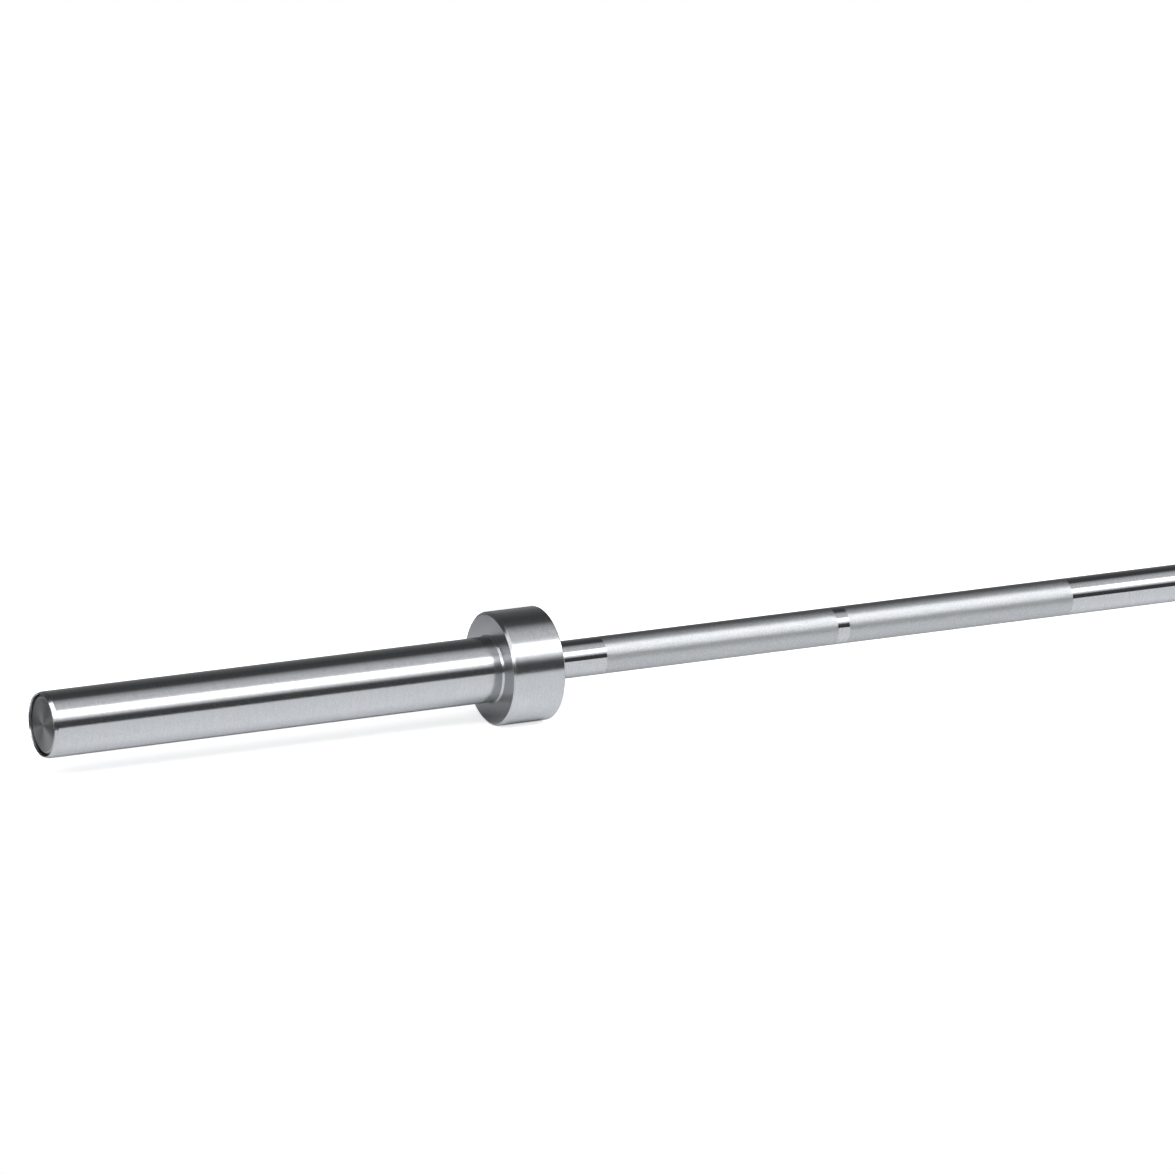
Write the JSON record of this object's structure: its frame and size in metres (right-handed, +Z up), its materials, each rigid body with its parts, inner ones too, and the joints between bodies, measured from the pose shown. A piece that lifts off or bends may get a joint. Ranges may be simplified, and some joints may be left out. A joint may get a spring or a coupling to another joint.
{
  "type": "olympic barbell",
  "caption": "Straight chromed steel barbell: a knurled shaft with a collared sleeve at each end that spins on needle bearings and holds weight plates.",
  "frame": {"origin": "middle of the bar, on its axis", "axes": "+X along the bar towards its right sleeve, +Z up, +Y towards the back; every piece is turned about the X axis"},
  "size_m": [2.136, 0.087, 0.087],
  "materials": {
    "shaft_chrome": "polished hard chrome, with knurled bands",
    "sleeve_chrome": "finely ground and polished hard chrome",
    "collar_chrome": "turned and polished hard chrome",
    "cap_chrome": "bright turned steel, with fine circles round its centre",
    "bearing_steel": "ground bearing steel",
    "cage_steel": "pressed steel, dull",
    "spring_steel": "phosphated spring steel, nearly black",
    "washer_bronze": "turned bronze",
    "seal_rubber": "matte moulded black rubber",
    "o_ring_rubber": "satin black rubber"
  },
  "bodies": {
    "shaft": {"shaft": "shaft_chrome", "shaft_circlip_left": "spring_steel", "shaft_circlip_right": "spring_steel"},
    "sleeve_left": {"sleeve_tube_left": "sleeve_chrome", "collar_left": "collar_chrome", "dust_seal_left": "seal_rubber", "thrust_washer_inner_left": "washer_bronze", "thrust_washer_outer_left": "washer_bronze", "sleeve_circlip_left": "spring_steel", "end_cap_left": "cap_chrome", "end_cap_o_ring_left": "o_ring_rubber", "bearing_cup_1_left": "bearing_steel", "bearing_cup_2_left": "bearing_steel", "bearing_cup_3_left": "bearing_steel", "bearing_cup_4_left": "bearing_steel"},
    "rollers_1_left": {"bearing_cage_1_left": "cage_steel", "bearing_needles_1_left": "bearing_steel"},
    "rollers_2_left": {"bearing_cage_2_left": "cage_steel", "bearing_needles_2_left": "bearing_steel"},
    "rollers_3_left": {"bearing_cage_3_left": "cage_steel", "bearing_needles_3_left": "bearing_steel"},
    "rollers_4_left": {"bearing_cage_4_left": "cage_steel", "bearing_needles_4_left": "bearing_steel"},
    "sleeve_right": {"sleeve_tube_right": "sleeve_chrome", "collar_right": "collar_chrome", "dust_seal_right": "seal_rubber", "thrust_washer_inner_right": "washer_bronze", "thrust_washer_outer_right": "washer_bronze", "sleeve_circlip_right": "spring_steel", "end_cap_right": "cap_chrome", "end_cap_o_ring_right": "o_ring_rubber", "bearing_cup_1_right": "bearing_steel", "bearing_cup_2_right": "bearing_steel", "bearing_cup_3_right": "bearing_steel", "bearing_cup_4_right": "bearing_steel"},
    "rollers_1_right": {"bearing_cage_1_right": "cage_steel", "bearing_needles_1_right": "bearing_steel"},
    "rollers_2_right": {"bearing_cage_2_right": "cage_steel", "bearing_needles_2_right": "bearing_steel"},
    "rollers_3_right": {"bearing_cage_3_right": "cage_steel", "bearing_needles_3_right": "bearing_steel"},
    "rollers_4_right": {"bearing_cage_4_right": "cage_steel", "bearing_needles_4_right": "bearing_steel"}
  },
  "joints": [
    {"name": "sleeve_left_spin", "type": "hinge", "parent": "shaft", "child": "sleeve_left", "pos_m": [-0.86, 0, 0], "axis": [1, 0, 0], "continuous": true},
    {"name": "rollers_1_left_roll", "type": "hinge", "parent": "shaft", "child": "rollers_1_left", "pos_m": [-0.672, 0, 0], "axis": [1, 0, 0], "continuous": true},
    {"name": "rollers_2_left_roll", "type": "hinge", "parent": "shaft", "child": "rollers_2_left", "pos_m": [-0.6924, 0, 0], "axis": [1, 0, 0], "continuous": true},
    {"name": "rollers_3_left_roll", "type": "hinge", "parent": "shaft", "child": "rollers_3_left", "pos_m": [-1.0093, 0, 0], "axis": [1, 0, 0], "continuous": true},
    {"name": "rollers_4_left_roll", "type": "hinge", "parent": "shaft", "child": "rollers_4_left", "pos_m": [-1.0297, 0, 0], "axis": [1, 0, 0], "continuous": true},
    {"name": "sleeve_right_spin", "type": "hinge", "parent": "shaft", "child": "sleeve_right", "pos_m": [0.86, 0, 0], "axis": [1, 0, 0], "continuous": true},
    {"name": "rollers_1_right_roll", "type": "hinge", "parent": "shaft", "child": "rollers_1_right", "pos_m": [0.672, 0, 0], "axis": [1, 0, 0], "continuous": true},
    {"name": "rollers_2_right_roll", "type": "hinge", "parent": "shaft", "child": "rollers_2_right", "pos_m": [0.6924, 0, 0], "axis": [1, 0, 0], "continuous": true},
    {"name": "rollers_3_right_roll", "type": "hinge", "parent": "shaft", "child": "rollers_3_right", "pos_m": [1.0093, 0, 0], "axis": [1, 0, 0], "continuous": true},
    {"name": "rollers_4_right_roll", "type": "hinge", "parent": "shaft", "child": "rollers_4_right", "pos_m": [1.0297, 0, 0], "axis": [1, 0, 0], "continuous": true}
  ],
  "couplings": [
    {"joint": "rollers_1_left_roll", "follows": "sleeve_left_spin", "ratio": 0.5409},
    {"joint": "rollers_2_left_roll", "follows": "sleeve_left_spin", "ratio": 0.5409},
    {"joint": "rollers_3_left_roll", "follows": "sleeve_left_spin", "ratio": 0.5409},
    {"joint": "rollers_4_left_roll", "follows": "sleeve_left_spin", "ratio": 0.5409},
    {"joint": "rollers_1_right_roll", "follows": "sleeve_right_spin", "ratio": 0.5409},
    {"joint": "rollers_2_right_roll", "follows": "sleeve_right_spin", "ratio": 0.5409},
    {"joint": "rollers_3_right_roll", "follows": "sleeve_right_spin", "ratio": 0.5409},
    {"joint": "rollers_4_right_roll", "follows": "sleeve_right_spin", "ratio": 0.5409}
  ]
}
